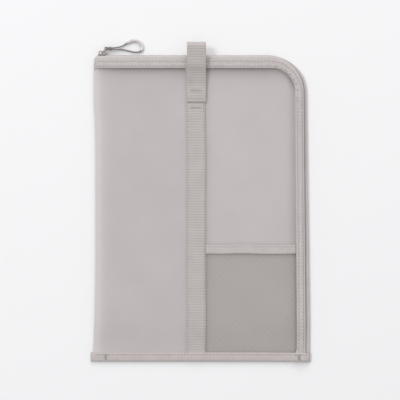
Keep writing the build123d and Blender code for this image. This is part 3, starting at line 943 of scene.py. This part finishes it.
def pocket_level(x, y):
    """The pocket lies on the front, and lifts a little along the middle of its mouth."""
    across = (x - hem_low.x) / (hem_high.x - hem_low.x)
    up = max((y - Y_BIND) / (hem_high.y - Y_BIND), 0.0)
    lift = POCKET_GAPE * math.sin(math.pi * share_of(across)) * up ** 2
    lift += 0.55 * MM * fading(hem_low.y - y, 2.6 * MM)
    return front_level(x, y) + 0.42 * MM + lift + ripple(x + 0.3, y, 22 * MM, 0.12 * MM)


pocket_cloth = nylon_mesh("pocket_mesh", POCKET_LIGHT, POCKET_DARK, 0.70, 0.03)
pocket_rows = [
    [
        (*settle(x, y, pocket_level(x, y)), x, y)
        for x in [
            *steps(hem_low.x - 2 * MM, hem_low.x + 4 * MM, 0.75 * MM)[:-1],
            *steps(hem_low.x + 4 * MM, hem_high.x - 4 * MM, 2.2 * MM)[:-1],
            *steps(hem_high.x - 4 * MM, hem_high.x + 2 * MM, 0.75 * MM),
        ]
    ]
    for y in [
        *steps(Y_RAW + 0.2 * MM, hem_low.y - 8 * MM, 2.2 * MM)[:-1],
        *steps(hem_low.y - 8 * MM, hem_high.y - 2 * MM, 0.9 * MM),
    ]
]


def pocket_painted_shade(x, y):
    """Painted shade: darker in the creases beside the strap and band and under the hem."""
    side = max(min(x - X_STRAP, X_SEAM_IN - x), 0.0)
    foot = max(y - Y_BIND, 0.0)
    # painted shade in the creases and under the hem
    crease = 0.30 * fading(side, 0.9 * MM) + 0.10 * fading(min(side, foot), 5 * MM)
    return -crease - 0.30 * fading(hem_low.y - y, 1.6 * MM)


pocket = grid_piece("pocket_mesh_layer", pocket_rows, pocket_cloth, MESH_THICK, -1.0, pocket_painted_shade)
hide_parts("pocket_panel", "pocket_panel_flap")
bends(pocket)

hem_mid = (hem_low.y + hem_high.y) / 2
hem_stations = []
for x in steps(hem_low.x - 0.2 * MM, hem_high.x + 0.4 * MM, 1.2 * MM):
    bow = ripple(x, 0.9, 20 * MM, 0.5 * MM)
    x, y, z = settle(x, hem_mid + bow, pocket_level(x, hem_mid) - 0.2 * MM)
    point = Vector((x, y, z))
    hem_stations.append((point, Vector((0, 1, 0)), Vector((0, 0, 1))))


def grosgrain(name, light, dark, rib):
    """Plain ribbon with fine ribs across its width, pressed flat: matt, with a faint sheen."""
    material, tree, shader = surface(
        name, Roughness=0.72, Specular_IOR_Level=0.3, Sheen_Weight=0.3, Sheen_Roughness=0.5,
    )
    height = woven(tree, rib, rib * 1.7)
    tone = sloped(tree, height, 0.0, 1.0, 0.2, 0.95)
    coloured(tree, shader, thread_shade_and_patches(tree, tone, light, dark, 0.14, 10.0))
    raised(tree, shader, height, 0.09 * MM)
    return material


binding_cloth = grosgrain("binding_tape", "#cfc7c5", "#aba3a1", 0.8)
hem = ribbon("pocket_hem_tape", hem_stations, HEM_PROFILE, HEM_WIDE, HEM_THICK, binding_cloth)
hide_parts("pocket_hem", "pocket_hem_flap")
bends(hem)
for number, share in enumerate((-0.40, 0.40)):
    line = [(p.x, p.y + share * HEM_WIDE, p.z + HEM_THICK + 0.02 * MM) for p, _, _ in hem_stations]
    bends(stitches(f"hem_stitches_{number + 1}", line, 2.6 * MM, thread, 2.0 * MM, holes=False))

# ---------------------------------------------------------------------------------------------
# Bottom binding. One tape folded round the raw lower edges of every layer and sewn through near
# its upper edge. Its ends are folded in and bartacked, and stand a little past both sides.
# ---------------------------------------------------------------------------------------------
BIND_THICK = 0.45 * MM
BIND_TOP = 2.9 * MM         # over mesh alone
STRAP_STEP = 0.75 * MM
BAND_STEP = 1.5 * MM
END_THICK = 2.3 * MM
ZIP_RIDGE = 0.15 * MM


def binding_height(x):
    """Height of the folded tape over what it holds, pressed thin where it holds nothing."""
    strap = STRAP_STEP * eased(1.0 - abs(x - WEB_MID) / WEB_WIDE)
    pocket_step = 0.3 * MM * eased((x - X_STRAP) / (2 * MM))
    band = BAND_STEP * eased((x - X_SEAM_IN + 4.0 * MM) / (3 * MM))
    ridge = ZIP_RIDGE * math.exp(-(((x - X_ZIP) / (0.8 * MM)) ** 2))
    height = BIND_TOP + max(strap, pocket_step) + band + ridge
    if x < X_FOLD + 2 * MM:
        height = END_THICK + (height - END_THICK) * eased((x - bind_low.x) / (X_FOLD + 2 * MM - bind_low.x))
    if x > X_ZIP:
        height -= (height - END_THICK) * ((x - X_ZIP) / (bind_high.x - X_ZIP)) ** 1.6
    return height


def binding_sway(x):
    """How far the tape wanders up or down along the edge."""
    return ripple(x, 0.4, 40 * MM, 0.35 * MM)


def binding_section(height):
    """(y, z) across the folded tape, from its upper edge on the front round to its edge on the back."""
    r = height / 2
    section = [(Y_BIND, height - 0.25 * MM), (Y_BIND - 0.8 * MM, height), (Y_BIND - 3.5 * MM, height)]
    for k in range(9):
        a = math.pi / 2 + math.pi * k / 8
        section.append((Y_BOTTOM + min(r, 1.5 * MM) * (1 + math.cos(a)), r + (r - 0.02 * MM) * math.sin(a)))
    return section + [(Y_BIND - 3.5 * MM, 0.02 * MM), (Y_BIND - 0.8 * MM, 0.02 * MM), (Y_BIND, 0.12 * MM)]


bind_rows = []
for x in steps(bind_low.x + 0.1 * MM, bind_high.x - 0.1 * MM, 1.4 * MM):
    sway = binding_sway(x)
    row, girth, last = [], 0.0, None
    for y, z in binding_section(binding_height(x)):
        girth += math.dist((y, z), last) if last else 0.0
        last = (y, z)
        row.append((x, y + sway, z, girth, x))
    bind_rows.append(row)
binding = grid_piece("bottom_binding_tape", bind_rows, binding_cloth, BIND_THICK, -1.0)
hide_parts("bottom_binding")
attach(binding, "case_back")
for number, top in enumerate((True, False)):
    line = []
    for x in steps(X_FOLD, X_EDGE - 1.5 * MM, 2 * MM):
        level = binding_height(x) + 0.06 * MM if top else 0.05 * MM
        line.append((x, Y_BIND - 1.4 * MM + binding_sway(x), level))
    wide = STITCH_WIDE if top else FLAT_STITCH
    row = stitches(f"binding_stitches_{number + 1}", line, 2.77 * MM, thread, wide=wide, holes=top)
    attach(row, "case_back")
for number, x in enumerate((X_FOLD + 8 * MM, X_EDGE - 8 * MM)):
    height = binding_height(x) + 0.02 * MM
    path = []
    for k in range(11):
        side = -1.1 * MM if k % 2 else 1.1 * MM
        path.append((x + side, Y_BOTTOM + (1.0 + k / 2) * MM, height))
    tack = tube(f"binding_bartack_{number + 1}", path, 0.3 * MM, thread, 6)
    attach(tack, "case_back")
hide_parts("binding_bartacks")

# ---------------------------------------------------------------------------------------------
# Slider and ring. The slider is die-cast zinc and the ring is steel wire, both sprayed with a thin
# satin paint to match the cloth, so they shine softly and show a little metal at worn corners.
# ---------------------------------------------------------------------------------------------
def painted_metal(name, paint, worn_metal):
    """Thin satin paint over metal, with small bare specks."""
    material, tree, shader = surface(
        name, Metallic=0.35, Roughness=0.32, Coat_Weight=0.25, Coat_Roughness=0.2,
    )
    spots = add(tree, "ShaderNodeTexNoise", {"Scale": 1400.0, "Detail": 3.0})
    bare = sloped(tree, spots, 0.62, 0.75, 0.0, 0.6)
    coloured(tree, shader, toned(tree, bare, paint, worn_metal))
    tree.links.new(sloped(tree, spots, 0.3, 0.7, 0.26, 0.42), shader.inputs["Roughness"])
    raised(tree, shader, spots, 0.01 * MM)
    return material


slider_paint = painted_metal("slider_paint", "#b5aba8", "#c9c6c4")
for node in ("zip_slider", "puller_ring"):
    repainted(node, slider_paint)

# ---------------------------------------------------------------------------------------------
# Pull cord. A loop of 1 mm braided polyester cord, hitched on the ring, lies on the table beyond
# the top edge. A soft clear-tinted tube slides over its far bend as a grip.
# ---------------------------------------------------------------------------------------------
CORD_D = 1.0 * MM
CORD_ROUTE = [
    (-0.0696, 0.23805, 0.0030), (-0.0658, 0.23835, 0.0022), (-0.0624, 0.23925, 0.0015),
    (-0.0594, 0.24095, 0.0013), (-0.0566, 0.24295, 0.00135), (-0.0532, 0.24445, 0.0014),
    (-0.0494, 0.24365, 0.00135), (-0.0464, 0.24055, 0.0013), (-0.0462, 0.23695, 0.00135),
    (-0.0486, 0.23505, 0.0013), (-0.0524, 0.23495, 0.0010), (-0.0566, 0.23595, 0.0009),
    (-0.0608, 0.23695, 0.0012), (-0.0650, 0.2371, 0.0022), (-0.0696, 0.23695, 0.0030),
]
SLEEVE_RADIUS = 1.22 * MM
SLEEVE_FROM = -0.0582       # the sleeve starts at this x on the cord's way out
SLEEVE_TO = -0.0475         # and ends at this x on its way back
KNOT_WIRE = 0.47 * MM
KNOT_TURN = 1.0 * MM        # middle of the cord round the ring's bar
KNOT_RISE = 0.55 * MM       # each turn lies this far above or below the bar's level
WRAP_TURN = 1.05 * MM       # turns that close the hitch


def braided_cord(name, light, dark):
    """Fine braid of polyester filament: crossing slanted strands, slightly lustrous."""
    material, tree, shader = surface(
        name, Roughness=0.55, Specular_IOR_Level=0.4, Sheen_Weight=0.2, Sheen_Roughness=0.4,
    )
    where = add(tree, "ShaderNodeTexCoord").node.outputs["Object"]
    strands = []
    for slant in (35, -35):
        turn = (0, 0, math.radians(slant))
        turned = add(
            tree, "ShaderNodeMapping", {"Vector": where, "Rotation": turn, "Scale": (1 / MM,) * 3},
        )
        strands.append(add(tree, "ShaderNodeTexWave", {"Vector": turned, "Scale": 0.55, "Distortion": 0.3}))
    height = add(tree, "ShaderNodeMath", {0: strands[0], 1: strands[1]}, operation="MAXIMUM")
    # strand crowns lighter and the grooves between strands darker: painted shade
    coloured(tree, shader, toned(tree, height, dark, light))
    raised(tree, shader, height, 0.06 * MM)
    return material


def cord_curve(name, bevel):
    """Smooth curve along the cord's route, round where a bevel is given."""
    curve = bpy.data.curves.new(name, "CURVE")
    curve.dimensions = "3D"
    curve.resolution_u = 8
    curve.bevel_depth = bevel
    curve.bevel_resolution = 4
    curve.use_fill_caps = bevel > 0
    spline = curve.splines.new("NURBS")
    spline.points.add(len(CORD_ROUTE) - 1)
    for point, place in zip(spline.points, CORD_ROUTE):
        point.co = (*place, 1.0)
    spline.order_u = 3
    spline.use_endpoint_u = True
    return placed(name, curve)


braid = braided_cord("braided_cord", "#8f8785", "#5f5856")
cord = cord_curve("pull_cord_loop", CORD_D / 2)
cord.data.materials.append(braid)
route = cord_curve("cord_line", 0.0)
bpy.context.view_layer.update()
cord_line = [v.co.copy() for v in mesh_of(route).vertices]
bpy.data.objects.remove(route)
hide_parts("pull_cord")
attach(cord, "cord_pull")


def soft_vinyl(name, light, dark):
    """Extruded soft vinyl tube, tinted to match: smooth and glossy, slightly cloudy."""
    material, tree, shader = surface(
        name, Roughness=0.22, Specular_IOR_Level=0.55, IOR=1.52, Subsurface_Weight=0.3,
        Subsurface_Radius=(1.0, 0.97, 0.95), Subsurface_Scale=0.0006, Coat_Weight=0.3, Coat_Roughness=0.12,
    )
    cloud = add(tree, "ShaderNodeTexNoise", {"Scale": 500.0, "Detail": 2.0})
    coloured(tree, shader, toned(tree, cloud, dark, light))
    return material


first = next(k for k, p in enumerate(cord_line) if p.x > SLEEVE_FROM)
last = max(k for k, p in enumerate(cord_line) if p.x > SLEEVE_TO)
sleeve_line = cord_line[first:last + 1]
vinyl = soft_vinyl("soft_vinyl", "#dcd7d5", "#cdc8c6")
count = len(sleeve_line)
outer_radius = [SLEEVE_RADIUS * (0.93 if k in (0, count - 1) else 1.0) for k in range(count)]
sleeve = tube("cord_sleeve_tube", sleeve_line, outer_radius, vinyl, 20)
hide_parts("cord_sleeve")
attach(sleeve, "cord_pull")

ring_tip = Vector(next(j for j in frame["joints"] if j["name"] == "cord_swing")["pos_m"])
start, end = Vector(CORD_ROUTE[0]), Vector(CORD_ROUTE[-1])
knot_way = (start + end) / 2 - ring_tip
knot_way.z = 0
knot_way.normalize()
knot_side = Vector((-knot_way.y, knot_way.x, 0))


def from_ring(out, aside, up):
    """Point this far out along the cord, to its side and above the ring's tip."""
    return ring_tip + knot_way * out + knot_side * aside + Vector((0, 0, up))


hitch = []
for turn, height in ((1, KNOT_RISE), (-1, -KNOT_RISE)):
    strand_end = start if turn > 0 else end
    path = [strand_end + knot_way * 0.3 * MM, from_ring(1.3 * MM, 0.45 * turn * MM, 0.0)]
    for k in range(9):
        a = turn * (math.radians(50) + math.radians(250) * k / 8)
        path.append(from_ring(KNOT_TURN * math.cos(a), KNOT_TURN * math.sin(a), height))
    path.append(from_ring(1.25 * MM, -0.35 * turn * MM, 0.7 * height))
    hitch.append(path)
bight = [
    from_ring(out * MM, aside * MM, up * MM)
    for out, aside, up in (
        (1.3, -0.9, 0.5), (1.75, -0.5, 0.75), (1.9, 0.0, 0.6), (1.75, 0.5, 0.75), (1.3, 0.9, 0.5),
    )
]
wrap = []
for k in range(33):
    a = 2 * math.pi * k / 12
    out = (2.5 + 1.7 * k / 32) * MM
    wrap.append(from_ring(out, WRAP_TURN * math.cos(a), 0.75 * WRAP_TURN * math.sin(a)))
for number, path in enumerate([*hitch, bight, wrap]):
    line = [Vector(p) for p in smoothed(path, 2)]
    piece = tube(f"cord_hitch_{number + 1}", line, KNOT_WIRE, braid, 10)
    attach(piece, "cord_pull")
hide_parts("cord_knot")

# ---------------------------------------------------------------------------------------------
# Table, light and camera. A plain pale table, a soft light on the left, a broad one beyond the top
# edge, and even light from all round; the camera looks straight down.
# ---------------------------------------------------------------------------------------------
FRAME_WIDE = 0.3076
LENS = 135.0
SENSOR = 36.0
FOCUS_LEVEL = 0.005
VIEW_CENTRE = Vector((-0.00173, 0.12095, FOCUS_LEVEL))
TABLE_SIZE = 6.0
KEY_POWER = 26.0
HIGH_POWER = 42.0
FILL_STRENGTH = 0.60

table_material, table_tree, table_shader = surface("matt_board", Roughness=0.85, Specular_IOR_Level=0.2)
table_cloud = add(table_tree, "ShaderNodeTexNoise", {"Scale": 3.0, "Detail": 2.0})
coloured(table_tree, table_shader, toned(table_tree, table_cloud, "#f3f3f4", "#f5f5f6"))
table_mesh = bpy.data.meshes.new("table")
half = TABLE_SIZE / 2
corners = [(-half, -half, 0), (half, -half, 0), (half, half, 0), (-half, half, 0)]
table_mesh.from_pydata(corners, [], [(0, 1, 2, 3)])
table = placed("table", table_mesh)
table.data.materials.append(table_material)


def soft_light(name, place, target, size, power):
    """Round soft light at a place, turned to its target."""
    data = bpy.data.lights.new(name, "AREA")
    data.shape = "DISK"
    data.size = size
    data.energy = power
    lamp = placed(name, data)
    lamp.location = place
    lamp.rotation_euler = (Vector(target) - Vector(place)).to_track_quat("-Z", "Y").to_euler()


soft_light("side_light", (-1.50, 1.05, 2.60), VIEW_CENTRE, 1.00, KEY_POWER)
soft_light("broad_light", (0.10, 2.60, 1.90), VIEW_CENTRE, 2.40, HIGH_POWER)
world = bpy.data.worlds.new("studio")
world.use_nodes = True
world.node_tree.nodes["Background"].inputs[0].default_value = linear("#f7f7f8")
world.node_tree.nodes["Background"].inputs[1].default_value = FILL_STRENGTH
bpy.context.scene.world = world
bpy.context.scene.view_settings.view_transform = "Standard"

camera_data = bpy.data.cameras.new("camera")
camera_data.lens = LENS
camera_data.sensor_width = SENSOR
camera = placed("camera", camera_data)
camera.location = VIEW_CENTRE + Vector((0, 0, FRAME_WIDE * LENS / SENSOR))
camera.rotation_euler = (0, 0, 0)
bpy.context.scene.camera = camera
